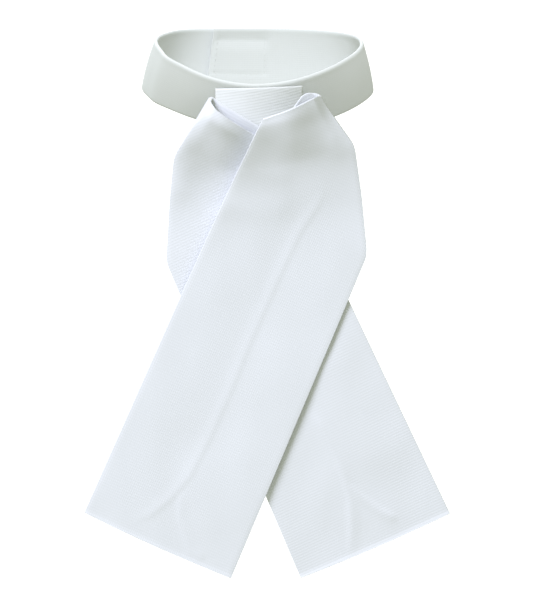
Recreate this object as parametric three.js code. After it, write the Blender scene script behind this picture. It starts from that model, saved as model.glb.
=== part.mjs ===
// A ready-tied white cravat as it hangs from the neck: a doubled band closed at the nape, a small
// panel on the front of the band, and two wide doubled tails that cross below the throat.
// Millimetres. +X is the wearer's left, +Y the nape, +Z up. The origin is the middle of the neck.
import * as THREE from "three";

// Cloth
const LAYER = 1.1; // one layer of ribbed cotton
const DOUBLED = 2 * LAYER; // a tail below its open top
const BAND_WALL = 2.4; // doubled cloth with its turnings
const TAB_WALL = 2.0;
const CLEAR = 0.35; // between pieces that lie on each other

// Band: the run of each rim round the neck, and how far it dips at the throat and the nape
const BAND_HEIGHT = 31.7;
const TOP_RIM = {
  halfWidth: 64.6,
  halfDepth: 60,
  behind: 19.4, // how far the widest place lies behind the middle
  shift: 0,
  dip: 13.5,
  dipTurn: -0.07,
  nape: 0,
};
const LOW_RIM = {
  halfWidth: 72.6,
  halfDepth: 50.9,
  behind: 19.4,
  shift: -1.1,
  dip: 12.3,
  dipTurn: 0.05,
  nape: 4.4,
};
const RIM_LEVEL = 16; // of the upper rim, at the sides of the neck
const DIP_SHARPNESS = 3.9; // the higher, the narrower the dips at the throat and the nape
const SIDE_DROP = 0.011; // fall of the rims towards +X, in mm per mm
const BAND_BELLY = 0.8; // how far the wall swells between its rims

// Closure at the nape: turns round the neck in degrees from the throat, positive towards +X
const INNER_END = 206.7; // the end that lies on the inside
const OUTER_END = -187.5; // the end that lies outside it
const LIFT_FROM = -112; // where the outer end starts to leave the loop's line
const LIFT_FULL = -149;
const PATCH = { from: 175.5, to: 204.5, height: 20, thick: 1.6 };
const LIFT = BAND_WALL + PATCH.thick + 2 * CLEAR;
const BAND_STEPS = 84;
const PATCH_STEPS = 8;

// Panel in front of the band, which the tails hang from
const TAB = {
  left: -26.8,
  right: 27.0,
  topLeft: 0.4,
  topRight: 2.3,
  sag: 1.6, // of its top edge between its corners
  foot: -42,
  front: 63.3, // how far its middle lies in front of the neck's middle
};
const TAB_WRAP_TOP = 8.6; // how far its side edges lie behind its middle
const TAB_WRAP_FOOT = 6.0;
const TAB_COLUMNS = 12;
const TAB_ROWS = 5;

// Tails. Each row is a section across the tail, from the edge that crosses the throat (near) to the
// outer edge (far): the places of its two ends, and how far in front of the neck's middle the back
// face lies at the near end, in the middle and at the far end. down is its distance from the first.
// A fold runs from one place to another: width is its half width, rise how far it stands forward.
const REAR_TAIL = {
  name: "tail_rear",
  rows: [
    { down: 0, nearX: 9.5, nearZ: -34.1, farX: -30.6, farZ: -4.6, near: 64.0, middle: 63.4, far: 56.4 },
    { down: 7, nearX: 10.9, nearZ: -37.2, farX: -36.2, farZ: -13.6, near: 64.0, middle: 63.2, far: 56.4 },
    { down: 17, nearX: 13.5, nearZ: -42.7, farX: -42.8, farZ: -24.8, near: 64.0, middle: 63.0, far: 56.6 },
    { down: 32, nearX: 17.1, nearZ: -50.3, farX: -52.4, farZ: -42.0, near: 63.7, middle: 62.5, far: 57.4 },
    { down: 52, nearX: 21.6, nearZ: -60.0, farX: -55.2, farZ: -70.0, near: 63.2, middle: 62.0, far: 59.0 },
    { down: 76, nearX: 27.1, nearZ: -71.8, farX: -57.6, farZ: -108.9, near: 62.8, middle: 62.2, far: 60.6 },
    { down: 180, nearX: 73.5, nearZ: -171.5, farX: -15.7, farZ: -211.3, near: 62.6, middle: 62.8, far: 62.2 },
    { down: 284, nearX: 120.0, nearZ: -271.2, farX: 26.2, farZ: -313.8, near: 62.6, middle: 62.8, far: 62.4 },
  ],
  // How far the back layer's edge stands above the front layer's, along the open top
  backRise: [
    { across: 0, rise: 5.6 },
    { across: 0.35, rise: 5.2 },
    { across: 0.85, rise: 3.2 },
    { across: 0.95, rise: 1.8 },
    { across: 1, rise: 0.6 },
  ],
  folds: [
    { fromX: -43, fromZ: -44, toX: -26, toZ: -70, width: 10, rise: -1.0 },
    { fromX: -41, fromZ: -24, toX: -49, toZ: -60, width: 10, rise: 0.8 },
    { fromX: 70, fromZ: -230, toX: 45, toZ: -178, width: 18, rise: 0.7 },
  ],
};
const FRONT_TAIL = {
  name: "tail_front",
  rows: [
    { down: 0, nearX: 2.2, nearZ: -15.2, farX: 38.0, farZ: -2.6, near: 67.0, middle: 63.4, far: 54.4 },
    { down: 8, nearX: -0.4, nearZ: -20.1, farX: 42.6, farZ: -12.0, near: 68.2, middle: 65.2, far: 54.6 },
    { down: 18, nearX: -4.7, nearZ: -29.9, farX: 49.0, farZ: -21.3, near: 69.4, middle: 67.2, far: 56.0 },
    { down: 34, nearX: -9.9, nearZ: -41.7, farX: 58.9, farZ: -35.4, near: 69.0, middle: 67.6, far: 58.2 },
    { down: 58, nearX: -15.3, nearZ: -54.0, farX: 63.4, farZ: -67.0, near: 67.4, middle: 67.0, far: 61.4 },
    { down: 82, nearX: -20.8, nearZ: -66.4, farX: 67.0, farZ: -103.5, near: 66.2, middle: 66.4, far: 64.8 },
    { down: 186, nearX: -65.3, nearZ: -167.7, farX: 24.6, farZ: -208, near: 66.6, middle: 66.8, far: 66.4 },
    { down: 290, nearX: -109.8, nearZ: -269.4, farX: -17.7, farZ: -312.6, near: 68, middle: 68.4, far: 68 },
  ],
  backRise: [
    { across: 0, rise: -4.5 },
    { across: 0.45, rise: -3.0 },
    { across: 0.56, rise: -0.8 },
    { across: 0.72, rise: 4.8 },
    { across: 0.94, rise: 1.8 },
    { across: 1, rise: 0.5 },
  ],
  folds: [
    { fromX: 29, fromZ: -32, toX: 33, toZ: -52, width: 9, rise: -0.9 },
    { fromX: 41, fromZ: -26, toX: 40, toZ: -58, width: 9, rise: 0.9 },
    { fromX: 52, fromZ: -32, toX: 50, toZ: -56, width: 9, rise: -0.8 },
    { fromX: 24, fromZ: -90, toX: -34, toZ: -220, width: 22, rise: 0.9 },
  ],
};
// How far the two layers stand apart, by the distance below the open top
const OPENING = [
  { below: 0, apart: 4.6 },
  { below: 3.5, apart: 6.6 },
  { below: 9, apart: 5.8 },
  { below: 17, apart: 3.2 },
  { below: 26, apart: 1.0 },
  { below: 36, apart: 0 },
];
const NEAR_SHARE = 0.06; // of the opening, at the near end, where it is pressed shut
const FULL_FROM = 0.75; // where it is fully open, across the tail
const POCKET_ROWS = 10; // rows below the open top that the pocket between the layers reaches
const POCKET_NEAR = 0.07; // where the pocket ends across the tail
const POCKET_FAR = 0.965;
const RISE_FADES = 22; // below this distance the layers' edges lie level
const ROLL = 3.4; // the widest rounding of a tail's edges
const EDGE_FLAT = 0.3; // the share of the thickness left at an edge
const FOOT_BOW = 1.2; // how far the foot of a tail bows out
const SHORT_STEPS = 4; // sections to each stretch between rows
const LONG_STEPS = 8;
const LONG_STRETCH = 60;
const ACROSS = [0, 0.01, 0.03, 0.08, 0.16, 0.27, 0.39, 0.5, 0.61, 0.73, 0.84, 0.92, 0.97, 0.99, 1];

const CLOTH = new THREE.MeshStandardMaterial({ color: 0xf1f4f6, roughness: 0.9, metalness: 0 });
const FASTENER = new THREE.MeshStandardMaterial({ color: 0xf4f4f2, roughness: 0.95, metalness: 0 });

const radians = THREE.MathUtils.degToRad;
const mix = THREE.MathUtils.lerp;

function smooth(from, to, value) {
  const t = THREE.MathUtils.clamp((value - from) / (to - from), 0, 1);
  return t * t * (3 - 2 * t);
}

// A smooth curve through a table's column, read where another column, rising down the table, is "at".
function lookUp(table, key, column, at) {
  let i = 0;
  while (i < table.length - 2 && at > table[i + 1][key]) i++;
  const low = table[i];
  const high = table[i + 1];
  const span = high[key] - low[key];
  const slope = (before, after) => (after[column] - before[column]) / (after[key] - before[key]);
  const leave = i > 0 ? slope(table[i - 1], high) : 0;
  const arrive = i < table.length - 2 ? slope(low, table[i + 2]) : 0;
  const t = THREE.MathUtils.clamp((at - low[key]) / span, 0, 1);
  const rest = 1 - t;
  const bends = span * t * rest * (leave * rest - arrive * t);
  return mix(low[column], high[column], t * t * (3 - 2 * t)) + bends;
}

// A closed solid through loops of the same count of points, with a strip across each end.
function loft(loops) {
  const count = loops[0].length;
  const points = loops.flat();
  const faces = [];
  for (let first = 0; first + count < points.length; first += count) {
    for (let i = 0; i < count; i++) {
      const a = first + i;
      const b = first + ((i + 1) % count);
      faces.push([a, b, b + count], [a, b + count, a + count]);
    }
  }
  const lastLoop = points.length - count;
  for (let i = 0; i < count / 2 - 1; i++) {
    const j = count - 1 - i;
    faces.push([i, j, j - 1], [i, j - 1, i + 1]);
    const k = lastLoop + i;
    const across = lastLoop + j;
    faces.push([k, across - 1, across], [k, k + 1, across - 1]);
  }
  const cross = new THREE.Vector3();
  let volume = 0;
  for (const [a, b, c] of faces) volume += points[a].dot(cross.crossVectors(points[b], points[c]));
  if (volume < 0) faces.forEach((face) => face.reverse());
  const geometry = new THREE.BufferGeometry().setFromPoints(points);
  geometry.setIndex(faces.flat());
  geometry.computeVertexNormals();
  return geometry;
}

// A point of a rim at a turn round the neck, without its thickness.
function rimPoint(rim, turn, level) {
  const side = Math.sin(turn);
  const ahead = Math.cos(turn);
  const dipTurn = turn - rim.dipTurn * Math.cos(turn / 2) ** 2;
  const throat = rim.dip * ((1 + Math.cos(dipTurn)) / 2) ** DIP_SHARPNESS;
  const nape = rim.nape * ((1 - ahead) / 2) ** DIP_SHARPNESS;
  const x = rim.halfWidth * side + rim.shift;
  const y = -rim.halfDepth * ahead + rim.behind * side * side;
  return new THREE.Vector3(x, y, level - throat - nape - SIDE_DROP * x);
}

// A point of the band's wall: a turn round the neck in radians, a share of its height from the lower
// rim, and how far outside the middle of the wall it lies.
function bandPoint(turn, share, out) {
  const low = rimPoint(LOW_RIM, turn, RIM_LEVEL - BAND_HEIGHT);
  const top = rimPoint(TOP_RIM, turn, RIM_LEVEL);
  const step = 0.01;
  const level = (at) => rimPoint(LOW_RIM, at, 0).lerp(rimPoint(TOP_RIM, at, 0), share);
  const along = level(turn + step).sub(level(turn - step));
  const outward = along.cross(top.clone().sub(low)).normalize();
  const belly = BAND_BELLY * 4 * share * (1 - share);
  return low.lerp(top, share).addScaledVector(outward, out + belly);
}

// How far the outer end is carried out to make room for the inner end and the closure.
function liftAt(degrees) {
  return LIFT * (1 - smooth(LIFT_FULL, LIFT_FROM, degrees));
}

// A section through a flat strip: shares of its height and of its thickness, once round.
function stripSection(low, high) {
  const span = high - low;
  const rows = [0.03, 0.27, 0.5, 0.73, 0.95];
  const outside = rows.map((share) => [low + span * share, 0.5]);
  const inside = rows.map((share) => [low + span * share, -0.5]).reverse();
  return [[low, 0.3], ...outside, [high - span * 0.015, 0.4], [high, 0.15]].concat(
    [[high, -0.15], [high - span * 0.015, -0.4], ...inside, [low, -0.3]],
  );
}

function neckband() {
  const loops = [];
  for (let i = 0; i <= BAND_STEPS; i++) {
    const degrees = mix(OUTER_END, INNER_END, i / BAND_STEPS);
    const out = liftAt(degrees);
    loops.push(
      stripSection(0, 1).map(([share, off]) => bandPoint(radians(degrees), share, out + off * BAND_WALL)),
    );
  }
  return loft(loops);
}

function closurePatch() {
  const half = PATCH.height / BAND_HEIGHT / 2;
  const middle = BAND_WALL / 2 + CLEAR + PATCH.thick / 2;
  const loops = [];
  for (let i = 0; i <= PATCH_STEPS; i++) {
    const degrees = mix(PATCH.from, PATCH.to, i / PATCH_STEPS);
    const section = stripSection(0.5 - half, 0.5 + half);
    loops.push(section.map(([share, off]) => bandPoint(radians(degrees), share, middle + off * PATCH.thick)));
  }
  return loft(loops);
}

// The panel wraps round the front of the band at its top and hangs plumb below it.
function tabPoint(across, down, depth) {
  const x = mix(TAB.left, TAB.right, across);
  const top = mix(TAB.topLeft, TAB.topRight, across) - TAB.sag * 4 * across * (1 - across);
  const side = (2 * x) / (TAB.right - TAB.left);
  const wrap = mix(TAB_WRAP_TOP, TAB_WRAP_FOOT, down) * side * side;
  return new THREE.Vector3(x, -(TAB.front - wrap - depth), mix(top, TAB.foot, down));
}

function centreTab() {
  const loops = [];
  for (let row = 0; row <= TAB_ROWS; row++) {
    const down = row / TAB_ROWS;
    const front = [];
    const back = [];
    for (let i = 0; i <= TAB_COLUMNS; i++) {
      front.push(tabPoint(i / TAB_COLUMNS, down, 0));
      back.unshift(tabPoint(i / TAB_COLUMNS, down, TAB_WALL));
    }
    loops.push([...front, ...back]);
  }
  return loft(loops);
}

// The sections of a tail: straight edges between the table's rows, and depths that run on smoothly.
function sectionsOf(rows) {
  const sections = [];
  for (let i = 0; i + 1 < rows.length; i++) {
    const steps = rows[i + 1].down - rows[i].down > LONG_STRETCH ? LONG_STEPS : SHORT_STEPS;
    for (let step = 0; step < steps; step++) {
      const down = mix(rows[i].down, rows[i + 1].down, step / steps);
      const section = {};
      for (const edge of ["nearX", "nearZ", "farX", "farZ"]) {
        section[edge] = mix(rows[i][edge], rows[i + 1][edge], step / steps);
      }
      for (const depth of ["near", "middle", "far"]) section[depth] = lookUp(rows, "down", depth, down);
      sections.push(section);
    }
  }
  sections.push(rows[rows.length - 1]);
  return sections;
}

// How far the folds carry the cloth forward at a place.
function foldRise(folds, x, z) {
  const place = new THREE.Vector3(x, 0, z);
  const nearest = new THREE.Vector3();
  let rise = 0;
  for (const fold of folds) {
    const from = new THREE.Vector3(fold.fromX, 0, fold.fromZ);
    const to = new THREE.Vector3(fold.toX, 0, fold.toZ);
    new THREE.Line3(from, to).closestPointToPoint(place, true, nearest);
    rise += fold.rise * Math.exp(-((nearest.distanceTo(place) / fold.width) ** 2));
  }
  return rise;
}

// Where a section lies at a share of its width, on the back face, and how thick the tail is there.
function tailPlace(shape, section, top, across) {
  const x = mix(section.nearX, section.farX, across);
  const z = mix(section.nearZ, section.farZ, across);
  const below = Math.hypot(x - mix(top.nearX, top.farX, across), z - mix(top.nearZ, top.farZ, across));
  const bend = 4 * section.middle - 2 * (section.near + section.far);
  const back = mix(section.near, section.far, across) + bend * across * (1 - across);
  const share = mix(NEAR_SHARE, 1, smooth(0, FULL_FROM, across));
  const thick = DOUBLED + share * lookUp(OPENING, "below", "apart", below);
  const width = Math.hypot(section.farX - section.nearX, section.farZ - section.nearZ);
  const roll = Math.min(ROLL, thick / 2);
  const inward = Math.min(Math.min(across, 1 - across) * width, roll) / roll;
  const half = (thick / 2) * Math.sqrt(1 - (1 - EDGE_FLAT ** 2) * (1 - inward) ** 2);
  return { x, z, below, middle: back + foldRise(shape.folds, x, z) + thick / 2, half };
}

// One closed loop of a tail, along its front face and back along its back face. inset is how far the
// faces lie inside the tail's own, lift how far the loop stands above the section.
function tailLoop(tail, sections, index, inset, lift) {
  const top = sections[0];
  const section = sections[index];
  const run = new THREE.Vector2(top.farX - top.nearX, top.farZ - top.nearZ).normalize();
  const up = new THREE.Vector2(-run.y, run.x).multiplyScalar(Math.sign(run.x));
  const bow = index === sections.length - 1 ? FOOT_BOW : 0;
  const front = [];
  const back = [];
  for (const station of ACROSS) {
    const across = inset ? mix(POCKET_NEAR, POCKET_FAR, station) : station;
    const place = tailPlace(tail, section, top, across);
    const half = Math.max(place.half - inset, 0.15);
    const foot = bow * 4 * across * (1 - across);
    const level = 1 - smooth(0, RISE_FADES, place.below);
    const backLift = lift + level * lookUp(tail.backRise, "across", "rise", across);
    const at = (raised, depth) =>
      new THREE.Vector3(place.x + up.x * raised, -depth, place.z + up.y * raised - foot);
    front.push(at(lift, place.middle + half));
    back.unshift(at(backLift, place.middle - half));
  }
  return [...front, ...back];
}

// A tail is a flat bag: its outside from the foot up to the open top, over the lip, and down inside.
function tail(shape) {
  const sections = sectionsOf(shape.rows);
  const loops = [];
  for (let i = sections.length - 1; i >= 0; i--) loops.push(tailLoop(shape, sections, i, 0, 0));
  loops.push(tailLoop(shape, sections, 0, LAYER / 2, LAYER / 2));
  for (let i = 0; i <= POCKET_ROWS; i++) loops.push(tailLoop(shape, sections, i, LAYER, 0));
  return loft(loops);
}

function piece(name, geometry, material) {
  const mesh = new THREE.Mesh(geometry, material);
  mesh.name = name;
  return mesh;
}

const cravat = new THREE.Group();
cravat.add(piece("neckband", neckband(), CLOTH));
cravat.add(piece("closure_patch", closurePatch(), FASTENER));
cravat.add(piece("centre_tab", centreTab(), CLOTH));
cravat.add(piece(REAR_TAIL.name, tail(REAR_TAIL), CLOTH));
cravat.add(piece(FRONT_TAIL.name, tail(FRONT_TAIL), CLOTH));

export default cravat;
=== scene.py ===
import functools
import math

import bmesh
import bpy
from bpy.props import FloatProperty, FloatVectorProperty, IntProperty, PointerProperty
from mathutils import Matrix, Vector, noise


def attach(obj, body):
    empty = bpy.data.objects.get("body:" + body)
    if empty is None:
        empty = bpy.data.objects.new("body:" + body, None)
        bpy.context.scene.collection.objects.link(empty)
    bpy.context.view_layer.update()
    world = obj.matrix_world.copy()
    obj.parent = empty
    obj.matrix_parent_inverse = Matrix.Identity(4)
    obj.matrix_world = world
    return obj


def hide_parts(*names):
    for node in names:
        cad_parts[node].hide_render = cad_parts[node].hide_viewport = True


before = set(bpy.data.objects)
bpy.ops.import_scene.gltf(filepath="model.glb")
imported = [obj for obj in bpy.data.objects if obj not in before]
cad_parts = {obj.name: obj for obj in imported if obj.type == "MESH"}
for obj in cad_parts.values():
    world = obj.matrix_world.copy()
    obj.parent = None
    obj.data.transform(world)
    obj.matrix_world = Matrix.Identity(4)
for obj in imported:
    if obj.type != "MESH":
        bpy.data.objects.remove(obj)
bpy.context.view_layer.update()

bl_info = {
    "name": "Ready-tied Cravat",
    "version": (1, 0, 0),
    "blender": (4, 5, 0),
    "location": "View3D > Sidebar > Cravat",
    "description": "Dresses a ready-tied white cravat in ribbed cotton and sets it on a pale stage",
    "category": "Mesh",
}

MM = 0.001

# The run of each rim round the neck, in millimetres, as in the part's source
TOP_RIM = {"half_width": 64.6, "half_depth": 60.0, "behind": 19.4, "shift": 0.0, "dip": 13.5,
           "dip_turn": -0.07, "nape": 0.0, "level": 16.0}
LOW_RIM = {"half_width": 72.6, "half_depth": 50.9, "behind": 19.4, "shift": -1.1, "dip": 12.3,
           "dip_turn": 0.05, "nape": 4.4, "level": -15.7}
DIP_SHARPNESS = 3.9
SIDE_DROP = 0.011
BAND_HEIGHT = 31.7
BAND_CELL = 1.1
BAND_BELLY = 0.8
BAND_WAVES = 0.25
BAND_WAVE_LENGTH = 26
BAND_WAVE_HEIGHT = 30
BAND_SEED = 3.1
BAND_WEAVE = (0.02, 0.07)
BAND_END_ROUND = 1.5
EDGE_ROUND_SHARE = 0.62
RIM_ROLL_BELOW = 1.6
RIM_ROLL_REACH = 1.5

# The places of the band's crease and ends, in degrees round the neck from the front
BEND_AT = -59.0
BEND_REACH = 8.0
BEND_SIZE = 1.7
INNER_END = 206.7
OUTER_END = -187.5
MM_A_DEGREE = 420 / 360
LIFT_FROM = -112.0
LIFT_FULL = -149.0
CLEAR = 0.35

# The closure, in degrees and millimetres, and the relief of its seam on the inside of the band
PATCH_FROM = 175.5
PATCH_TO = 204.5
PATCH_LENGTH = 32.0
PATCH_HEIGHT = 20.0
PATCH_THICK = 1.6
PATCH_CELL = 0.8
PATCH_ROUND = 0.7
PATCH_NAP = 0.12
NAP_PER_MM = 1.7
NAP_SIDES = 5
SEAM_INSET = 0.94
SEAM_MARGIN = 0.03
RELIEF_FROM = -0.1
RELIEF_FULL = 0.06
END_MM_A_DEGREE = 1.13
END_FOLD = {"place": 1.2, "reach": 0.6, "rise": 0.5}
END_GROOVE = {"place": 3.4, "reach": 0.5, "rise": -0.5}
TOP_PUCKER = {"place": 0.0, "reach": 4.2, "rise": 0.75}
TOP_SEAM = {"place": 0.0, "reach": 0.6, "rise": 0.3}
FOOT_SEAM = {"place": 0.0, "reach": 0.7, "rise": 0.3}
SIDE_SEAM = {"place": 0.0, "reach": 0.7, "rise": 0.3}
STITCH_APART = 1.4

# The panel in front of the band
TAB_LEFT = -26.8
TAB_RIGHT = 27.0
TAB_TOP_LEFT = -1.2
TAB_TOP_RIGHT = 0.5
TAB_SAG = -1.1
TAB_FOOT = -42.0
TAB_FRONT = 63.3
TAB_WRAP_TOP = 7.4
TAB_WRAP_FOOT = 6.0
TAB_WALL = 2.0
TAB_CELL = 1.1
TAB_ROUND = 0.8
TAB_WAVES = 0.2
TAB_WAVE_LENGTH = 14
TAB_SEED = 7.7
TAB_WEAVE = (0.24, 0.04, (0.955, 0.955, 0.90))
TAB_WEAVE_LEAN = 11.0

# Columns of the tables. A tail's rows are sections across it, in millimetres, from the edge that crosses
# the throat (near) to the outer edge (far)
ROW_COLUMNS = ("down", "near_x", "near_z", "far_x", "far_z", "near", "middle", "far")
RISE_COLUMNS = ("across", "rise")
DROP_COLUMNS = ("across", "drop")
FOLD_COLUMNS = ("from_x", "from_z", "to_x", "to_z", "width", "rise")
LINE_COLUMNS = ("x", "z")
OPENING_COLUMNS = ("below", "apart")
PATH_COLUMNS = ("down", "inset", "lift", "inside", "passed")
LIGHT_COLUMNS = ("setting", "turn", "height", "colour", "only_on")


def table(columns, *rows):
    """A list of rows with named columns."""
    return [dict(zip(columns, row)) for row in rows]


REAR_TAIL = {
    "name": "tail_rear",
    "lean": 25.0,
    "weave": (0.15, 0.02),
    "rows": table(
        ROW_COLUMNS,
        (0, 9.5, -34.1, -30.6, -4.6, 64.0, 63.4, 57.8),
        (7, 10.9, -37.2, -36.2, -13.6, 64.0, 63.2, 57.8),
        (17, 13.5, -42.7, -42.8, -24.8, 64.0, 63.0, 57.8),
        (32, 17.1, -50.3, -52.4, -42.0, 63.7, 62.5, 58.2),
        (52, 21.6, -60.0, -55.2, -70.0, 63.2, 62.0, 59.0),
        (76, 27.1, -71.8, -57.6, -108.9, 62.8, 62.2, 60.6),
        (180, 73.5, -171.5, -15.7, -211.3, 62.6, 62.8, 62.2),
        (284, 120.0, -271.2, 26.2, -313.8, 62.6, 62.8, 62.4),
    ),
    "back_rise": table(RISE_COLUMNS, (0, 5.6), (0.35, 5.2), (0.85, 3.2), (0.95, 1.8), (1, 0.6)),
    "crest_drop": table(DROP_COLUMNS, (0, 2.5), (0.82, 2.7), (0.93, 1.6), (1, 0)),
    "opening": table(OPENING_COLUMNS, (0, 6.0), (4, 6.4), (8, 5.9), (17, 2.8), (26, 1.0), (36, 0)),
    "far_share": 0.75,
    "seam_share": 1.8,
    "folds": table(
        FOLD_COLUMNS,
        (-43, -44, -26, -70, 10, -1.0),
        (-41, -24, -49, -60, 10, 0.8),
        (70, -230, 45, -178, 18, 0.7),
    ),
    "puffs": table(
        FOLD_COLUMNS,
        (-54, -10, -50, -28, 23, 3.0),
        (-46, -17, -27, -7, 24, 7.2),
        (-33, -20, -26, -34, 18, 1.0),
        (-5, -33, -9, -48, 12, -1.5),
        (-56, -20, -58, -62, 22, 2.3),
        (-46, -50, -26, -37, 18, 1.4),
    ),
    "seams": (
        table(LINE_COLUMNS, (57.3, -301.5), (57.8, -281.7), (57.1, -262.1), (53.9, -249.0), (49.4, -235.9),
              (39.3, -216.4), (31.8, -203.4)),
        table(LINE_COLUMNS, (53.9, -249.0), (63.3, -258.8), (76.0, -268.6), (88.6, -275.2)),
    ),
}
FRONT_TAIL = {
    "name": "tail_front",
    "lean": -23.7,
    "weave": (0.105, 0.13),
    "rows": table(
        ROW_COLUMNS,
        (0, 2.2, -15.2, 38.0, -2.6, 68.0, 64.6, 54.8),
        (8, -0.4, -20.1, 42.6, -12.0, 68.8, 65.8, 55.0),
        (18, -4.7, -29.9, 49.0, -21.3, 69.4, 67.2, 56.0),
        (34, -9.9, -41.7, 58.9, -35.4, 69.0, 67.6, 58.2),
        (58, -15.3, -54.0, 63.4, -67.0, 67.2, 67.2, 61.6),
        (82, -20.8, -66.4, 67.0, -103.5, 66.3, 66.4, 64.8),
        (186, -65.3, -167.7, 24.6, -208.0, 66.3, 66.5, 66.2),
        (290, -109.8, -269.4, -17.7, -312.6, 66.6, 66.9, 66.5),
    ),
    "back_rise": table(RISE_COLUMNS, (0, -4.5), (0.45, -3.0), (0.56, -0.8), (0.74, 2.6), (0.94, 0.3),
                       (1, -0.8)),
    "crest_drop": table(DROP_COLUMNS, (0, 0), (0.8, 0), (1, 0.8)),
    "opening": table(OPENING_COLUMNS, (0, 6.0), (4, 6.1), (9, 5.4), (17, 3.2), (26, 1.0), (36, 0)),
    "far_share": 0.35,
    "seam_share": 1.0,
    "folds": table(
        FOLD_COLUMNS,
        (24, -90, -34, -220, 22, -0.8),
    ),
    "puffs": table(
        FOLD_COLUMNS,
        (-12, -13, 12, -5, 17, 7.0),
        (2, -17, 18, -9, 13, 1.8),
        (-9, -16, -11, -32, 14, 2.4),
        (-20, -20, 44, -8, 55, 5.5),
        (22, -30, 44, -29, 12, 2.1),
        (-12, -50, 14, -52, 7, 0.3),
        (-20, -71, 10, -74, 9, 0.5),
    ),
    "seams": (
        table(LINE_COLUMNS, (41.8, -56.7), (36.3, -71.2), (25.3, -88.0), (13.6, -113.4), (-5.6, -158.0),
              (-18.1, -190.2), (-30.6, -219.2), (-43.2, -244.6), (-55.8, -260.2), (-68.4, -270.7),
              (-84.1, -275.9)),
        table(LINE_COLUMNS, (-34.0, -300.9), (-43.4, -294.3), (-49.6, -273.3), (-48.9, -253.7)),
    ),
}

# How a tail opens into its roll, and how its edges, hem and seams are shaped, in millimetres and in shares
# of its width or of its opening
STRIP_WIDTH = 100.0
NEAR_SHARE = 0.06
FULL_FROM = 0.75
FAR_FROM = 0.86
OPEN_FULL = 4.0
OPEN_ROLL = 0.5
EDGE_PRESS = 0.03
EDGE_REACH = 3.0
EDGE_ROLL = 0.25
EDGE_STEP = 0.7
EDGE_BLOCK = 1.6
SEAM_SWELL = 4.0
SEAM_DROP = 1.9
SEAM_ENDS = 0.15
BACK_SEAM = 0.35
BACK_SEAM_REACH = 1.1
HEM_FLARE = 0.5
HEM_REACH = 1.4
HEM_ROUND = 0.3
FOOT_BOW = 1.2
FOOT_BOW_REACH = 12
CORNER_ROUND = 3.5
CORNER_DROP = 2.2
CORNER_REACH = 3.0
LIP_STEPS = 8
LIP_THINS_FROM = 3.0
LIP_THINS_TO = 9.0
POCKET_NEAR = 0.07
POCKET_FAR = 0.95
POCKET_DEPTH = 34.0
POCKET_STEPS = 24
POCKET_ROOM = 0.12
RISE_FADES = 22.0
CREST_FADES = 14.0
PUFF_ON_BACK = 0.5
ROOM_SOFTNESS = 0.5
WAVE_ACROSS = 21
WAVE_DOWN = 34

# The finishes: how sharp the ribs are and how much shade is painted into the colour between them, and the
# sizes of fibres and naps in metres
RIB_SHARPNESS = 3.0
WALE_SHARPNESS = 2.0
GROOVE_SHADE = 4
FIBRE_SIZE = 0.0006
FIBRE_RISE = 0.06
NAP_SIZE = 0.0005
NAP_RELIEF = 0.0004
TWIST_SIZE = 1 / 3000
TWIST_RELIEF = 0.0001

# The camera's frame in the photo's pixels, and the lights and the floor in metres and degrees
PHOTO_HEIGHT = 609
FOCAL_PIXELS = 4032.3
SENSOR = 36.0
VIEW_CENTRE = (0.00465, -0.066, -0.1353)
LIGHT_AIM = (0, -0.06, -0.14)
LIGHT_SIZE = 3.0
LIGHT_AWAY = 6.0
FILL_COLOUR = (0.95, 1.0, 0.83, 1)
FLOOR_REACH = 7.0
FLOOR_BACK = 2.0
BAND_PIECES = ("neckband_cloth", "closure_tape", "closure_stitching")
TAIL_PIECES = ("centre_tab_cloth", "tail_rear_cloth", "tail_front_cloth")
LIGHTS = table(
    LIGHT_COLUMNS,
    ("collar", -14, 65, (0.84, 0.86, 0.96), BAND_PIECES),
    ("side", -146, 12, (0.78, 0.86, 1.0), BAND_PIECES),
    ("tails", -41, 45, (0.79, 0.80, 1.0), TAIL_PIECES),
    ("back", -172, 25, (0.9, 0.93, 1.0), ()),
)


class CravatCloth(bpy.types.PropertyGroup):
    """The ribbed cotton that every piece is sewn from"""

    layer: FloatProperty(name="Layer", description="Thickness of one layer of cloth", default=0.001,
                         min=0.0005, max=0.002, unit="LENGTH")
    lip: FloatProperty(name="Rolled lip", description="Thickness of the rolled edge at the top of a tail",
                       default=0.0014, min=0.001, max=0.004, unit="LENGTH")
    rib: FloatProperty(name="Rib pitch", description="Distance between the ribs that run across a strip",
                       default=0.00175, min=0.0005, max=0.005, unit="LENGTH")
    wale: FloatProperty(name="Wale pitch", description="Distance between the fine columns along a strip",
                        default=0.00128, min=0.0005, max=0.005, unit="LENGTH")
    relief: FloatProperty(name="Weave relief", description="Height of the ribs", default=0.00022,
                          min=0.0, max=0.001, unit="LENGTH")
    white: FloatVectorProperty(name="Cotton white", description="Colour of the cotton", subtype="COLOR",
                               size=4, min=0, max=1, default=(0.81, 0.83, 0.84, 1))
    # Painted shade: this darker colour down between the ribs stands in for the shade that falls in the
    # grooves
    painted_groove_shade: FloatVectorProperty(name="Between the ribs", description="Colour down between the ribs",
                                subtype="COLOR", size=4, min=0, max=1, default=(0.76, 0.78, 0.78, 1))


class CravatBand(bpy.types.PropertyGroup):
    """The band round the neck and its closure"""

    wall: FloatProperty(name="Wall", description="Thickness of the doubled band", default=0.0022,
                        min=0.001, max=0.005, unit="LENGTH")
    rim_roll: FloatProperty(name="Rim roll", description="How much thicker the folded upper rim is",
                            default=0.0003, min=0.0, max=0.002, unit="LENGTH")
    steps: IntProperty(name="Steps round the neck", description="Cells along the band", default=300,
                       min=60, max=600)
    stitch: FloatProperty(name="Stitch length", description="Length of a stitch of the closure's seam",
                          default=0.0022, min=0.001, max=0.005, unit="LENGTH")
    thread: FloatProperty(name="Thread", description="Thickness of the sewing thread", default=0.0004,
                          min=0.0002, max=0.001, unit="LENGTH")


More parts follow.
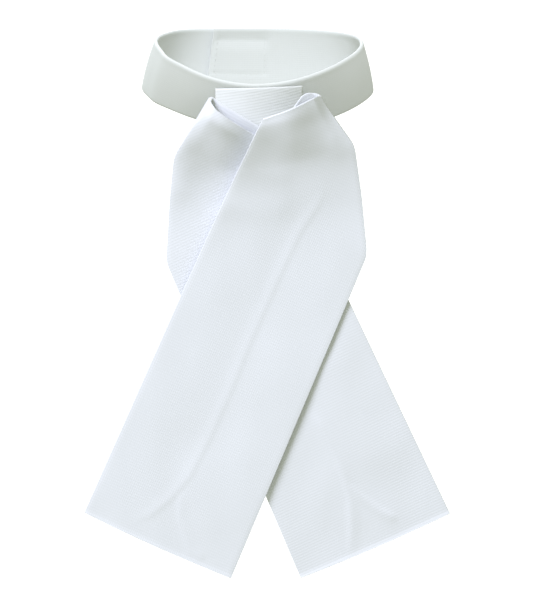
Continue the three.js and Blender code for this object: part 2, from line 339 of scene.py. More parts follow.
class CravatTails(bpy.types.PropertyGroup):
    """The two tails and the panel that they hang from"""

    cell: FloatProperty(name="Cell", description="Size of the tails' mesh cells", default=0.0013,
                        min=0.0008, max=0.005, unit="LENGTH")
    seam_rise: FloatProperty(name="Seam relief", description="How far inner seams press through",
                             default=0.00022, min=0.0, max=0.001, unit="LENGTH")
    unevenness: FloatProperty(name="Unevenness", description="Slow waves of the hanging cloth",
                              default=0.00045, min=0.0, max=0.002, unit="LENGTH")


class CravatStage(bpy.types.PropertyGroup):
    """The floor, lights and camera"""

    floor_drop: FloatProperty(name="Floor drop", description="Depth of the floor below the neck's middle",
                              default=0.38, min=0.32, max=1.0, unit="LENGTH")
    collar: FloatProperty(name="Collar light", description="Power of the soft light high above the band",
                          default=318.0, min=0.0, max=2000.0, unit="POWER")
    tails: FloatProperty(name="Tails light", description="Power of the light from the upper left",
                         default=462.0, min=0.0, max=2000.0, unit="POWER")
    side: FloatProperty(name="Side light", description="Power of the light from behind on the band's left",
                        default=85.0, min=0.0, max=2000.0, unit="POWER")
    back: FloatProperty(name="Back light", description="Power of the weak light from behind",
                        default=120.0, min=0.0, max=2000.0, unit="POWER")
    fill: FloatProperty(name="Fill", description="Strength of the light from all round", default=0.48,
                        min=0.0, max=5.0)
    pitch: FloatProperty(name="Camera pitch", description="How far the camera looks down",
                         default=math.radians(14.0), min=0.0, max=1.5, subtype="ANGLE")
    distance: FloatProperty(name="Camera distance", description="From the camera to the tails",
                            default=2.5, min=0.5, max=10.0, unit="LENGTH")


def smooth(start, end, value):
    """A soft step from 0 at the start to 1 at the end."""
    t = min(max((value - start) / (end - start), 0.0), 1.0)
    return t * t * (3 - 2 * t)


def mix(a, b, t):
    """The value that lies a share t of the way from a to b."""
    return a + (b - a) * t


def rounded(share):
    """Height of a quarter circle at a share of its radius."""
    return math.sqrt(max(0.0, 1 - (1 - min(share, 1.0)) ** 2))


def bell(at, shape):
    """A bell of a place, reach and rise."""
    return shape["rise"] * math.exp(-(((at - shape["place"]) / shape["reach"]) ** 2))


def look_up(rows, key, column, at):
    """A smooth curve through a table's column, read where the key column is at."""
    i = 0
    while i < len(rows) - 2 and at > rows[i + 1][key]:
        i += 1
    low, high = rows[i], rows[i + 1]
    span = high[key] - low[key]

    def slope(before, after):
        return (after[column] - before[column]) / (after[key] - before[key])

    leave = slope(rows[i - 1], high) if i > 0 else 0.0
    arrive = slope(low, rows[i + 2]) if i < len(rows) - 2 else 0.0
    t = min(max((at - low[key]) / span, 0.0), 1.0)
    rest = 1 - t
    bends = span * t * rest * (leave * rest - arrive * t)
    return mix(low[column], high[column], t * t * (3 - 2 * t)) + bends


def straight(rows, key, column, at):
    """Straight lines through a table's column, read where the key column is at."""
    i = 0
    while i < len(rows) - 2 and at > rows[i + 1][key]:
        i += 1
    low, high = rows[i], rows[i + 1]
    return mix(low[column], high[column], (at - low[key]) / (high[key] - low[key]))


def softened(rows, key, column, at, reach):
    """As straight, with the corners rounded over a reach to each side."""
    first, last = rows[0][key], rows[-1][key]
    reach = min(reach, at - first, last - at)
    steps = (-1.0, -0.5, 0.0, 0.5, 1.0)
    return sum(straight(rows, key, column, at + reach * s) for s in steps) / len(steps)


def edged(length, cell, roll, fine=5):
    """Stations along a length in even cells, with finer ones where its ends round off."""
    ends = [roll * (1 - math.cos(math.pi / 2 * k / fine)) for k in range(fine + 1)]
    count = max(2, round((length - 2 * roll) / cell))
    middle = [roll + (length - 2 * roll) * k / count for k in range(1, count)]
    return ends + middle + [length - e for e in reversed(ends)]


def distance_to_line(x, z, line):
    """A place's distance from a line, the share of the line before it, and if it is on the line's right."""
    best, where, right = 1e9, 0.0, False
    for k in range(len(line) - 1):
        ax, az, bx, bz = line[k]["x"], line[k]["z"], line[k + 1]["x"], line[k + 1]["z"]
        run = (bx - ax) ** 2 + (bz - az) ** 2
        t = min(max(((x - ax) * (bx - ax) + (z - az) * (bz - az)) / run, 0.0), 1.0)
        away = math.hypot(x - mix(ax, bx, t), z - mix(az, bz, t))
        if away < best:
            best, where = away, (k + t) / (len(line) - 1)
            right = (bx - ax) * (z - az) - (bz - az) * (x - ax) < 0
    return best, where, right


def cloth_mesh(name, columns, rows, place, weave):
    """A sheet of cells, laid out by place(i, j) and woven by weave(i, j, place, row), all in millimetres."""
    places = [[place(i, j) for j in range(rows + 1)] for i in range(columns + 1)]
    bm = bmesh.new()
    bmesh.ops.create_grid(bm, x_segments=columns, y_segments=rows, size=0.5)
    cell = {v: (round((v.co.x + 0.5) * columns), round((v.co.y + 0.5) * rows)) for v in bm.verts}
    uv = bm.loops.layers.uv.new("weave")
    for face in bm.faces:
        first_row = min(cell[vert][1] for vert in face.verts)
        for loop in face.loops:
            i, j = cell[loop.vert]
            loop[uv].uv = Vector(weave(i, j, places[i][j], first_row)) * MM
    for vert in bm.verts:
        i, j = cell[vert]
        vert.co = places[i][j] * MM
    bmesh.ops.remove_doubles(bm, verts=bm.verts, dist=1e-6)
    bmesh.ops.dissolve_degenerate(bm, edges=bm.edges, dist=1e-7)
    bmesh.ops.recalc_face_normals(bm, faces=bm.faces)
    if bm.calc_volume(signed=True) < 0:
        bmesh.ops.reverse_faces(bm, faces=bm.faces)
    mesh = bpy.data.meshes.new(name)
    bm.to_mesh(mesh)
    bm.free()
    mesh.shade_smooth()
    piece = bpy.data.objects.new(name, mesh)
    bpy.context.scene.collection.objects.link(piece)
    return piece


def rim_point(rim, turn):
    """A point of a rim at a turn round the neck, in radians from the front."""
    side, ahead = math.sin(turn), math.cos(turn)
    dip_turn = turn - rim["dip_turn"] * math.cos(turn / 2) ** 2
    throat = rim["dip"] * ((1 + math.cos(dip_turn)) / 2) ** DIP_SHARPNESS
    nape = rim["nape"] * ((1 - ahead) / 2) ** DIP_SHARPNESS
    x = rim["half_width"] * side + rim["shift"]
    y = -rim["half_depth"] * ahead + rim["behind"] * side * side
    return Vector((x, y, rim["level"] - throat - nape - SIDE_DROP * x))


@functools.lru_cache(maxsize=None)
def band_frame(turn):
    """The lower and upper rim at a turn round the neck, with their runs along the band."""
    step = 0.01
    low, top = rim_point(LOW_RIM, turn), rim_point(TOP_RIM, turn)
    low_run = rim_point(LOW_RIM, turn + step) - rim_point(LOW_RIM, turn - step)
    top_run = rim_point(TOP_RIM, turn + step) - rim_point(TOP_RIM, turn - step)
    return low, top, low_run, top_run


def band_point(turn, share, out):
    """A point of the band at a turn and a share of its height, moved out from its middle."""
    low, top, low_run, top_run = band_frame(turn)
    along = low_run.lerp(top_run, share)
    along.z = 0.0
    outward = along.cross(top - low).normalized()
    belly = BAND_BELLY * 4 * share * (1 - share)
    return low.lerp(top, share) + outward * (out + belly)


def lift_at(degrees, wall):
    """How far the outer end is lifted over the inner end and the tape."""
    lift = wall + PATCH_THICK + 2 * CLEAR
    return lift * (1 - smooth(LIFT_FULL, LIFT_FROM, degrees))


def band_uneven(degrees, height):
    """Slow waves of the band's cloth."""
    along = (degrees - OUTER_END) * MM_A_DEGREE
    return BAND_WAVES * noise.noise(Vector((along / BAND_WAVE_LENGTH, height / BAND_WAVE_HEIGHT, BAND_SEED)))


def strip_round(height, wall, roll_top, cell):
    """Once round a flat strip's section: height and distance from its middle, outside first."""
    corner = wall * EDGE_ROUND_SHARE
    outside = []
    for h in edged(height, cell, corner):
        near = min(h, height - h) / corner
        swell = roll_top * math.exp(-((height - h - RIM_ROLL_BELOW) / RIM_ROLL_REACH) ** 2) * min(near, 1.0)
        outside.append((h, wall / 2 * rounded(near) + swell / 2))
    return outside + [(h, -w) for h, w in reversed(outside)]


class CRAVAT_OT_neckband(bpy.types.Operator):
    """Make the doubled band that closes round the neck"""

    bl_idname = "cravat.neckband"
    bl_label = "Neckband"

    def execute(self, context):
        band = context.scene.cravat_band
        wall = band.wall / MM
        height = BAND_HEIGHT
        section = strip_round(height, wall, band.rim_roll / MM, BAND_CELL)
        length = (INNER_END - OUTER_END) * MM_A_DEGREE
        stations = edged(length, length / band.steps, BAND_END_ROUND)
        turns = [mix(OUTER_END, INNER_END, s / length) for s in stations]
        rims = [band_frame(math.radians(t))[:2] for t in turns]
        heights = [(top - low).length for low, top in rims]

        def place(i, j):
            degrees = turns[i]
            h, off = section[j]
            half = rounded(min(stations[i], length - stations[i]) / BAND_END_ROUND)
            crease = BEND_SIZE * math.exp(-(((degrees - BEND_AT) / BEND_REACH) ** 2))
            out = lift_at(degrees, wall) + (off + band_uneven(degrees, h)) * half + crease
            if off < 0:
                out += closure_relief(degrees, h / height) * half
            return band_point(math.radians(degrees), h / height, out)

        def weave(i, j, at, row):
            from_rim = (1 - section[j][0] / height) * heights[i]
            return stations[i], math.copysign(from_rim, section[j][1])

        piece = cloth_mesh("neckband_cloth", len(turns) - 1, len(section) - 1, place, weave)
        finish_piece(piece, "neckband", cotton("band_cotton", *BAND_WEAVE))
        return {"FINISHED"}


def closure_relief(degrees, share):
    """The seam that holds the closure draws the band in along a rectangle inside the nape."""
    half = PATCH_HEIGHT / BAND_HEIGHT / 2 * SEAM_INSET
    across = (degrees - PATCH_FROM) / (PATCH_TO - PATCH_FROM)
    from_end = (INNER_END - degrees) * END_MM_A_DEGREE
    above = (share - 0.5 - half) * BAND_HEIGHT
    below = (share - 0.5 + half) * BAND_HEIGHT
    beside = min(abs(across - SEAM_MARGIN), abs(across - 1 + SEAM_MARGIN)) * PATCH_LENGTH
    relief = bell(from_end, END_FOLD) + bell(from_end, END_GROOVE)
    ends = smooth(RELIEF_FROM, RELIEF_FULL, across) * smooth(RELIEF_FROM, RELIEF_FULL, 1 - across)
    relief += ends * (bell(above, TOP_PUCKER) + bell(above, TOP_SEAM) + bell(below, FOOT_SEAM))
    if ends > 0 and below > 0 > above:
        relief += bell(beside, SIDE_SEAM)
    return relief


class CRAVAT_OT_closure(bpy.types.Operator):
    """Make the hook-and-loop tape between the band's ends"""

    bl_idname = "cravat.closure"
    bl_label = "Closure"

    def execute(self, context):
        wall = context.scene.cravat_band.wall / MM
        section = strip_round(PATCH_HEIGHT, PATCH_THICK, 0.0, PATCH_CELL)
        length = PATCH_LENGTH
        stations = edged(length, PATCH_CELL, PATCH_ROUND)
        middle = wall / 2 + CLEAR + PATCH_THICK / 2
        foot = 0.5 - PATCH_HEIGHT / BAND_HEIGHT / 2

        def place(i, j):
            turn = math.radians(mix(PATCH_FROM, PATCH_TO, stations[i] / length))
            h, off = section[j]
            half = rounded(min(stations[i], length - stations[i]) / PATCH_ROUND)
            tuft = Vector((stations[i] * NAP_PER_MM, h * NAP_PER_MM, off * NAP_SIDES))
            nap = PATCH_NAP * noise.noise(tuft)
            return band_point(turn, foot + h / BAND_HEIGHT, middle + (off + nap) * half)

        def weave(i, j, at, row):
            return stations[i], j * PATCH_CELL

        piece = cloth_mesh("closure_tape", len(stations) - 1, len(section) - 1, place, weave)
        finish_piece(piece, "closure_patch", fastener())
        return {"FINISHED"}


class CRAVAT_OT_stitching(bpy.types.Operator):
    """Sew the closure's rectangle on the inside and the outside of the nape"""

    bl_idname = "cravat.stitching"
    bl_label = "Closure stitching"

    def execute(self, context):
        band = context.scene.cravat_band
        wall, size, thread = band.wall / MM, band.stitch / MM, band.thread / MM
        half = PATCH_HEIGHT / BAND_HEIGHT / 2 * SEAM_INSET
        start, end = PATCH_FROM + 1, PATCH_TO - 1
        corners = ((start, 0.5 - half), (end, 0.5 - half), (end, 0.5 + half), (start, 0.5 + half))

        def on_band(degrees, share, outside, proud=0.0):
            if outside:
                degrees -= 360
                out = lift_at(degrees, wall) + wall / 2 + proud
            else:
                out = closure_relief(degrees, share) - wall / 2 - proud
            out += band_uneven(degrees, share * BAND_HEIGHT)
            return band_point(math.radians(degrees), share, out)

        bm = bmesh.new()
        for outside in (True, False):
            for k in range(4):
                here, there = corners[k], corners[(k + 1) % 4]
                length = math.hypot((there[0] - here[0]) * MM_A_DEGREE, (there[1] - here[1]) * BAND_HEIGHT)
                count = round(length / (size * STITCH_APART))
                for n in range(count):
                    t, ahead = (n + 0.5) / count, (n + 0.6) / count
                    spot = mix(here[0], there[0], t), mix(here[1], there[1], t)
                    beyond = mix(here[0], there[0], ahead), mix(here[1], there[1], ahead)
                    point = on_band(*spot, outside)
                    run = (on_band(*beyond, outside) - point).normalized()
                    side = (on_band(*spot, outside, 1.0) - point).cross(run).normalized()
                    turned = Matrix((run, side, run.cross(side))).transposed().to_4x4()
                    sized = Matrix.Diagonal((size * MM, thread * MM, thread * MM, 1))
                    bmesh.ops.create_uvsphere(bm, u_segments=8, v_segments=5, radius=0.5,
                                              matrix=Matrix.Translation(point * MM) @ turned @ sized)
        mesh = bpy.data.meshes.new("closure_stitching")
        bm.to_mesh(mesh)
        bm.free()
        mesh.shade_smooth()
        piece = bpy.data.objects.new("closure_stitching", mesh)
        context.scene.collection.objects.link(piece)
        piece.data.materials.append(sewing_thread())
        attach(piece, "root")
        return {"FINISHED"}


class CRAVAT_OT_centre_tab(bpy.types.Operator):
    """Make the small panel on the front of the band"""

    bl_idname = "cravat.centre_tab"
    bl_label = "Centre tab"

    def execute(self, context):
        width = TAB_RIGHT - TAB_LEFT
        height = TAB_TOP_LEFT - TAB_FOOT
        across = edged(width, TAB_CELL, TAB_ROUND)
        ring = [(a, 1) for a in across] + [(a, -1) for a in reversed(across)]
        down = edged(height, TAB_CELL, TAB_ROUND)

        def place(i, j):
            a, face = ring[i]
            d = down[j] / height
            x = TAB_LEFT + a
            top = mix(TAB_TOP_LEFT, TAB_TOP_RIGHT, a / width) - TAB_SAG * 4 * (a / width) * (1 - a / width)
            side = 2 * x / width
            wrap = mix(TAB_WRAP_TOP, TAB_WRAP_FOOT, d) * side * side
            round_off = rounded(min(a, width - a) / TAB_ROUND)
            round_off *= rounded(min(down[j], height - down[j]) / TAB_ROUND)
            half = TAB_WALL / 2 * round_off
            z = mix(top, TAB_FOOT, d)
            wave = noise.noise(Vector((x / TAB_WAVE_LENGTH, z / TAB_WAVE_LENGTH, TAB_SEED)))
            uneven = TAB_WAVES * wave * round_off
            return Vector((x, -(TAB_FRONT - TAB_WALL / 2 - wrap + half * face + uneven), z))

        def weave(i, j, at, row):
            lean = math.radians(TAB_WEAVE_LEAN)
            across, up = math.cos(lean), math.sin(lean)
            return at.z * across - at.x * up, at.x * across + at.z * up

        piece = cloth_mesh("centre_tab_cloth", len(ring) - 1, len(down) - 1, place, weave)
        finish_piece(piece, "centre_tab", cotton("tab_cotton", *TAB_WEAVE))
        return {"FINISHED"}


def fold_rise(folds, x, z):
    """How far soft folds lift the cloth at a place."""
    rise = 0.0
    for f in folds:
        line = [{"x": f["from_x"], "z": f["from_z"]}, {"x": f["to_x"], "z": f["to_z"]}]
        away = distance_to_line(x, z, line)[0]
        rise += f["rise"] * math.exp(-((away / f["width"]) ** 2))
    return rise


def seam_rise(seams, x, z):
    """Inner seams press through: the cloth swells slowly on the right of a line and drops off on its left."""
    rise = 0.0
    for line in seams:
        away, where, right = distance_to_line(x, z, line)
        ends = smooth(0.0, SEAM_ENDS, where) * smooth(0.0, SEAM_ENDS, 1 - where)
        reach = SEAM_SWELL if right else SEAM_DROP
        rise = max(rise, ends * math.exp(-((away / reach) ** 2)))
    return rise


def tail_section(shape, down):
    """The two edges of a tail at a distance down it, and how far forward its back stands."""
    rows = shape["rows"]
    section = {}
    for k in ("near_x", "near_z", "far_x", "far_z"):
        section[k] = softened(rows, "down", k, down, CORNER_REACH)
    for k in ("near", "middle", "far"):
        section[k] = look_up(rows, "down", k, down)
    section["width"] = math.hypot(section["far_x"] - section["near_x"], section["far_z"] - section["near_z"])
    return section


def tail_path(length, cell, layer, lip):
    """The way up the outside of a tail, over its rim and down inside, and which of its steps is the rim."""
    downs = [d for d in reversed(edged(length, cell, EDGE_STEP)) if d > EDGE_STEP * 0.9]
    steps = [(d, 0.0, 0.0, 0.0, 0.0) for d in downs + [EDGE_STEP / 2, 0.0]]
    rim = len(steps) - 1
    for k in range(1, LIP_STEPS):
        turn = math.pi * k / LIP_STEPS
        inside = (1 - math.cos(turn)) / 2
        steps.append((0.0, lip * inside, lip / 2 * math.sin(turn), inside, lip / 2 * turn))
    for k in range(POCKET_STEPS + 1):
        down = POCKET_DEPTH * (k / POCKET_STEPS)
        inset = mix(lip, layer, smooth(LIP_THINS_FROM, LIP_THINS_TO, down))
        steps.append((down, inset, 0.0, 1.0, lip * math.pi / 2 + down))
    return table(PATH_COLUMNS, *steps), rim


def across_at(station, width):
    """Where a station lies across a tail: the edges keep their size and the rest shares out the width."""
    if station <= EDGE_BLOCK:
        return station / width
    if station >= STRIP_WIDTH - EDGE_BLOCK:
        return 1 - (STRIP_WIDTH - station) / width
    share = (station - EDGE_BLOCK) / (STRIP_WIDTH - 2 * EDGE_BLOCK)
    return mix(EDGE_BLOCK / width, 1 - EDGE_BLOCK / width, share)


def make_tail(context, shape):
    """A tail is a flat bag: its outside from the foot up to the open top, over the lip, and down inside."""
    cloth, tails = context.scene.cravat_cloth, context.scene.cravat_tails
    layer, lip, cell = cloth.layer / MM, cloth.lip / MM, tails.cell / MM
    seam, waves = tails.seam_rise / MM, tails.unevenness / MM
    length = shape["rows"][-1]["down"]
    doubled = 2 * layer
    path, rim = tail_path(length, cell, layer, lip)
    stations = edged(STRIP_WIDTH, cell, EDGE_STEP)
    ring = [(a, 1) for a in stations] + [(a, -1) for a in reversed(stations)]
    sections = {step["down"]: tail_section(shape, step["down"]) for step in path}
    top = sections[0.0]
    run = Vector((top["far_x"] - top["near_x"], top["far_z"] - top["near_z"])).normalized()
    up = Vector((-run.y, run.x)) * (1 if run.x > 0 else -1)

    def place(i, j):
        a, face = ring[i]
        down, inset, inside = path[j]["down"], path[j]["inset"], path[j]["inside"]
        closes = j == len(path) - 1
        section = sections[down]
        across = across_at(a, section["width"])
        across = mix(across, mix(POCKET_NEAR, POCKET_FAR, across), inside)
        x = mix(section["near_x"], section["far_x"], across)
        z = mix(section["near_z"], section["far_z"], across)
        rim_x = mix(top["near_x"], top["far_x"], across)
        rim_z = mix(top["near_z"], top["far_z"], across)
        below = math.hypot(x - rim_x, z - rim_z)

        # How far the two layers stand apart, and how they close at the edges and the foot
        share = mix(NEAR_SHARE, 1, smooth(0, FULL_FROM, across))
        share *= mix(1, shape["far_share"], smooth(FAR_FROM, 1, across))
        thick = doubled + share * look_up(shape["opening"], "below", "apart", below)
        edge = min(across, 1 - across) * section["width"]
        opened = min((thick - doubled) / OPEN_FULL, 1.0)
        inward = min(edge / (thick / 2 * mix(EDGE_PRESS, OPEN_ROLL, opened)), 1.0)
        foot = min((length - down) / HEM_ROUND, 1.0)

        # Folds move both layers, and puffs the front one most
        bend = 4 * section["middle"] - 2 * (section["near"] + section["far"])
        back = mix(section["near"], section["far"], across) + bend * across * (1 - across)
        back += fold_rise(shape["folds"], x, z)
        puff = fold_rise(shape["puffs"], x, z)
        follows = max(0.0, puff) * mix(1.0, PUFF_ON_BACK, share)
        room = thick - doubled + puff - follows
        half = (doubled + (room + math.hypot(room, ROOM_SOFTNESS)) / 2) / 2
        uneven = waves * noise.noise(Vector((x / WAVE_ACROSS, z / WAVE_DOWN, shape["lean"])))
        middle = back + follows + half + uneven
        half = max(half * rounded(inward) * rounded(foot) - inset, POCKET_ROOM if inset else 0.0)
        if closes or (inset and a == 0):
            half = 0.0

        # Seams, edges and the hem press through on the outside
        press = 0.0
        if face > 0 and not inset:
            press = seam * shape["seam_share"] * seam_rise(shape["seams"], x, z)
            press -= EDGE_ROLL * (1 - opened) * max(0.0, 1 - edge / EDGE_REACH) ** 2
            press += HEM_FLARE * math.exp(-(((length - down) / HEM_REACH) ** 2))
            press *= inward * foot
        elif not inset:
            press = BACK_SEAM * math.exp(-(((a - STRIP_WIDTH / 2) / BACK_SEAM_REACH) ** 2)) * foot

        # The rim: the back stands higher than the front, and the outer corner is rounded off
        level = (1 - smooth(0, RISE_FADES, below)) * look_up(shape["back_rise"], "across", "rise", across)
        level *= 0.0 if closes or face > 0 else smooth(0, EDGE_BLOCK, a)
        corner = 1 - rounded((1 - across) * section["width"] / CORNER_ROUND)
        drop = look_up(shape["crest_drop"], "across", "drop", across) + CORNER_DROP * corner
        drop *= 1 - smooth(0, CREST_FADES, below)
        raised = path[j]["lift"] - drop + level
        bow = FOOT_BOW * 4 * across * (1 - across) * smooth(length - FOOT_BOW_REACH, length, down)
        return Vector((x + up.x * raised, -(middle + half * face + press), z + up.y * raised - bow))

    lean = math.radians(shape["lean"])
    along = Vector((math.sin(lean), -math.cos(lean)))
    side = Vector((math.cos(lean), math.sin(lean)))

    def weave(i, j, at, row):
        flat = Vector((at.x, at.z))
        passed = path[j]["passed"]
        if row >= rim and ring[i][1] < 0:
            return passed, flat.dot(run)
        if row >= rim:
            flat += up * (passed + path[j]["down"] - path[j]["lift"])
        return flat.dot(along), flat.dot(side)

    piece = cloth_mesh(shape["name"] + "_cloth", len(ring) - 1, len(path) - 1, place, weave)
    finish_piece(piece, shape["name"], cotton(shape["name"] + "_cotton", *shape["weave"]))


class CRAVAT_OT_tails(bpy.types.Operator):
    """Make the two doubled tails that cross below the throat"""

    bl_idname = "cravat.tails"
    bl_label = "Tails"

    def execute(self, context):
        make_tail(context, REAR_TAIL)
        make_tail(context, FRONT_TAIL)
        return {"FINISHED"}


def finish_piece(piece, node, material):
    """Give a piece its material and let it stand for its node."""
    piece.data.materials.clear()
    piece.data.materials.append(material)
    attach(piece, "root")
    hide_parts(node)


class Nodes:
    """Adds shader nodes to a material and links them."""

    def __init__(self, name):
        self.material = bpy.data.materials.new(name)
        self.material.use_nodes = True
        self.tree = self.material.node_tree
        self.shader = self.tree.nodes["Principled BSDF"]

    def add(self, kind, *inputs, **settings):
        node = self.tree.nodes.new(kind)
        for key, value in settings.items():
            setattr(node, key, value)
        for k, source in enumerate(inputs):
            if isinstance(source, bpy.types.NodeSocket):
                self.tree.links.new(source, node.inputs[k])
            elif source is not None:
                node.inputs[k].default_value = source
        return node

    def math(self, operation, a, b=None):
        return self.add("ShaderNodeMath", a, b, operation=operation).outputs[0]

    def link(self, source, target):
        self.tree.links.new(source, target)

    def grain(self, place, size, detail, dimensions="2D"):
        """Noise with grains of a size."""
        scaled = self.add("ShaderNodeMapping", place)
        scaled.inputs["Scale"].default_value = (1 / size, 1 / size, 1 / size)
        texture = self.add("ShaderNodeTexNoise", scaled.outputs[0], noise_dimensions=dimensions)
        texture.inputs["Scale"].default_value = 1.0
        texture.inputs["Detail"].default_value = detail
        return texture.outputs["Fac"]

    def relief(self, height, distance):
        """Bumps that stand out by a distance."""
        bump = self.add("ShaderNodeBump")
        bump.inputs["Strength"].default_value = 1.0
        bump.inputs["Distance"].default_value = distance
        self.link(height, bump.inputs["Height"])
        self.link(bump.outputs[0], self.shader.inputs["Normal"])

    def colours(self, factor, low, high):
        """A colour between two others."""
        tone = self.add("ShaderNodeMix", data_type="RGBA")
        self.link(factor, tone.inputs["Factor"])
        tone.inputs["A"].default_value = low
        tone.inputs["B"].default_value = high
        self.link(tone.outputs["Result"], self.shader.inputs["Base Color"])


def ridges(nodes, coordinate, pitch, sharpness):
    """Rounded ridges of a pitch with narrow grooves between them, from 0 down in the grooves to 1."""
    turns = nodes.math("MULTIPLY", coordinate, math.pi / pitch)
    wave = nodes.math("ABSOLUTE", nodes.math("COSINE", turns))
    return nodes.math("SUBTRACT", 1.0, nodes.math("POWER", wave, sharpness))


def cotton(name, rib_rise, wale_rise, tint=(1.0, 1.0, 1.0)):
    """White ribbed cotton: broad cross ribs, fine columns along the strip, a trace of loose fibre, and
    painted shade down between the ribs.
    """
    cloth = bpy.context.scene.cravat_cloth
    nodes = Nodes(name)
    weave = nodes.add("ShaderNodeUVMap", uv_map="weave").outputs["UV"]
    parts = nodes.add("ShaderNodeSeparateXYZ", weave)
    ribs = ridges(nodes, parts.outputs["X"], cloth.rib, RIB_SHARPNESS)
    wales = ridges(nodes, parts.outputs["Y"], cloth.wale, WALE_SHARPNESS)
    fibre = nodes.grain(weave, FIBRE_SIZE, 2.0)
    both = nodes.math("ADD", nodes.math("MULTIPLY", ribs, rib_rise), nodes.math("MULTIPLY", wales, wale_rise))
    nodes.relief(nodes.math("ADD", both, nodes.math("MULTIPLY", fibre, FIBRE_RISE)), cloth.relief)
    # Painted shade: the colour is darkened down between the ribs, more where the ribs rise higher, in place
    # of the shade that falls there
    shade = nodes.math("MULTIPLY", nodes.math("SUBTRACT", 1.0, ribs), min(1.0, rib_rise * GROOVE_SHADE))
    painted_groove_shade, white = ([c * t for c, t in zip(colour, (*tint, 1.0))] for colour in (cloth.painted_groove_shade, cloth.white))
    nodes.colours(nodes.math("SUBTRACT", 1.0, shade), painted_groove_shade, white)
    rough = nodes.add("ShaderNodeMapRange", fibre)
    rough.inputs["To Min"].default_value = 0.82
    rough.inputs["To Max"].default_value = 0.96
    nodes.link(rough.outputs[0], nodes.shader.inputs["Roughness"])
    nodes.shader.inputs["Specular IOR Level"].default_value = 0.25
    nodes.shader.inputs["Sheen Weight"].default_value = 0.12
    nodes.shader.inputs["Sheen Roughness"].default_value = 0.6
    return nodes.material


def fastener():
    """White hook-and-loop tape with a rough nap."""
    nodes = Nodes("fastener_tape")
    nap = nodes.grain(nodes.add("ShaderNodeUVMap", uv_map="weave").outputs["UV"], NAP_SIZE, 4.0)
    nodes.relief(nap, NAP_RELIEF)
    nodes.colours(nap, (0.62, 0.62, 0.59, 1), (0.84, 0.84, 0.81, 1))
    nodes.shader.inputs["Roughness"].default_value = 0.95
    return nodes.material


def sewing_thread():
    """White sewing thread with a faint uneven twist."""
    nodes = Nodes("sewing_thread")
    twist = nodes.grain(nodes.add("ShaderNodeTexCoord").outputs["Object"], TWIST_SIZE, 2.0, "3D")
    nodes.relief(twist, TWIST_RELIEF)
    nodes.colours(twist, (0.76, 0.77, 0.76, 1), (0.84, 0.85, 0.85, 1))
    nodes.shader.inputs["Roughness"].default_value = 0.7
    return nodes.material


class CRAVAT_OT_stage(bpy.types.Operator):
    """Lay the floor and set the lights and the camera"""

    bl_idname = "cravat.stage"
    bl_label = "Stage"

    def execute(self, context):
        stage = context.scene.cravat_stage
        bm = bmesh.new()
        bmesh.ops.create_grid(bm, x_segments=8, y_segments=8, size=FLOOR_REACH)
        bmesh.ops.translate(bm, verts=bm.verts, vec=(0, FLOOR_BACK, -stage.floor_drop))
        mesh = bpy.data.meshes.new("floor")
        bm.to_mesh(mesh)
        bm.free()
        floor = bpy.data.objects.new("floor", mesh)
        context.scene.collection.objects.link(floor)
        floor.data.materials.append(pale_floor())
        floor.visible_diffuse = False
        for row in LIGHTS:
            lamp = self.light(row, getattr(stage, row["setting"]))
            if row["only_on"]:
                self.keep_on(lamp, row["only_on"])
        world = bpy.data.worlds.new("studio")
        world.use_nodes = True
        background = world.node_tree.nodes["Background"]
        background.inputs["Color"].default_value = FILL_COLOUR
        background.inputs["Strength"].default_value = stage.fill
        context.scene.world = world
        self.camera(stage)
        context.scene.view_settings.view_transform = "Standard"
        return {"FINISHED"}

    def keep_on(self, lamp, names):
        """Light linking keeps the light on the named pieces."""
        pieces = bpy.data.collections.new("under_" + lamp.name)
        for name in names:
            pieces.objects.link(bpy.data.objects[name])
        lamp.light_linking.receiver_collection = pieces

    def light(self, row, power):
        """A large round soft light at a turn and a height in degrees, aimed at the tails."""
        name = row["setting"] + "_light"
        lamp = bpy.data.lights.new(name, "AREA")
        lamp.shape = "DISK"
        lamp.size = LIGHT_SIZE
        lamp.energy = power
        lamp.color = row["colour"]
        thing = bpy.data.objects.new(name, lamp)
        bpy.context.scene.collection.objects.link(thing)
        turn, height = math.radians(row["turn"]), math.radians(row["height"])
        flat = math.cos(height)
        away = Vector((math.sin(turn) * flat, -math.cos(turn) * flat, math.sin(height)))
        thing.location = Vector(LIGHT_AIM) + away * LIGHT_AWAY
        thing.rotation_mode = "QUATERNION"
        thing.rotation_quaternion = (-away).to_track_quat("-Z", "Y")
        return thing

    def camera(self, stage):
        """The camera looks a little down at the middle of the view."""
        data = bpy.data.cameras.new("camera")
        data.sensor_width = SENSOR
        data.lens = FOCAL_PIXELS * SENSOR / PHOTO_HEIGHT
        thing = bpy.data.objects.new("camera", data)
        bpy.context.scene.collection.objects.link(thing)
        forward = Vector((0, math.cos(stage.pitch), -math.sin(stage.pitch)))
        thing.location = Vector(VIEW_CENTRE) - forward * stage.distance
        thing.rotation_euler = (math.pi / 2 - stage.pitch, 0, 0)
        data.clip_end = 50
        bpy.context.scene.camera = thing


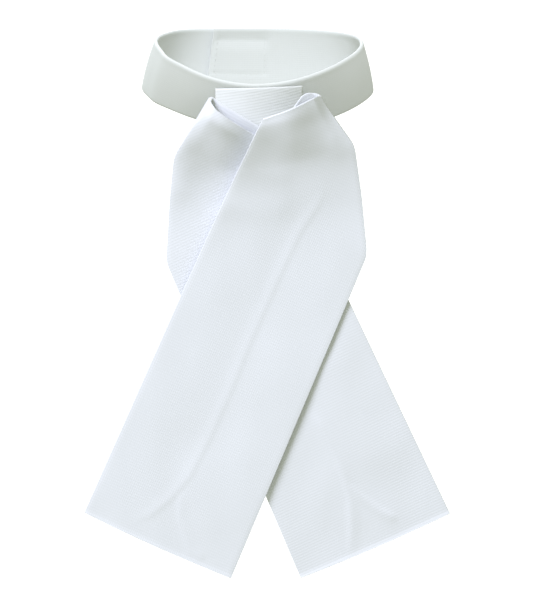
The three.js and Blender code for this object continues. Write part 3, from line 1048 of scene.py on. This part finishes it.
def pale_floor():
    """A pale floor that stays bright round the object."""
    nodes = Nodes("pale_floor")
    nodes.shader.inputs["Base Color"].default_value = (0.75, 0.75, 0.75, 1)
    nodes.shader.inputs["Roughness"].default_value = 0.9
    nodes.shader.inputs["Emission Color"].default_value = (1, 1, 1, 1)
    nodes.shader.inputs["Emission Strength"].default_value = 1.0
    return nodes.material


class VIEW3D_PT_cravat(bpy.types.Panel):
    """The cravat's pieces and their settings"""

    bl_idname = "VIEW3D_PT_cravat"
    bl_label = "Cravat"
    bl_space_type = "VIEW_3D"
    bl_region_type = "UI"
    bl_category = "Cravat"

    def draw(self, context):
        for group, operators in PANEL_ROWS:
            box = self.layout.box()
            settings = getattr(context.scene, group)
            for name in settings.bl_rna.properties.keys():
                if name not in ("rna_type", "name"):
                    box.prop(settings, name)
            for operator in operators:
                box.operator(operator)


PANEL_ROWS = (
    ("cravat_cloth", ()),
    ("cravat_band", ("cravat.neckband", "cravat.closure", "cravat.stitching")),
    ("cravat_tails", ("cravat.centre_tab", "cravat.tails")),
    ("cravat_stage", ("cravat.stage",)),
)
SETTINGS = (
    ("cravat_cloth", CravatCloth),
    ("cravat_band", CravatBand),
    ("cravat_tails", CravatTails),
    ("cravat_stage", CravatStage),
)
CLASSES = (
    CravatCloth,
    CravatBand,
    CravatTails,
    CravatStage,
    CRAVAT_OT_neckband,
    CRAVAT_OT_closure,
    CRAVAT_OT_stitching,
    CRAVAT_OT_centre_tab,
    CRAVAT_OT_tails,
    CRAVAT_OT_stage,
    VIEW3D_PT_cravat,
)


def register():
    for cls in CLASSES:
        bpy.utils.register_class(cls)
    for name, group in SETTINGS:
        setattr(bpy.types.Scene, name, PointerProperty(type=group))


def unregister():
    for name, _ in SETTINGS:
        delattr(bpy.types.Scene, name)
    for cls in reversed(CLASSES):
        bpy.utils.unregister_class(cls)


def main():
    register()
    bpy.ops.cravat.neckband()
    bpy.ops.cravat.closure()
    bpy.ops.cravat.stitching()
    bpy.ops.cravat.centre_tab()
    bpy.ops.cravat.tails()
    bpy.ops.cravat.stage()


if __name__ == "__main__":
    main()
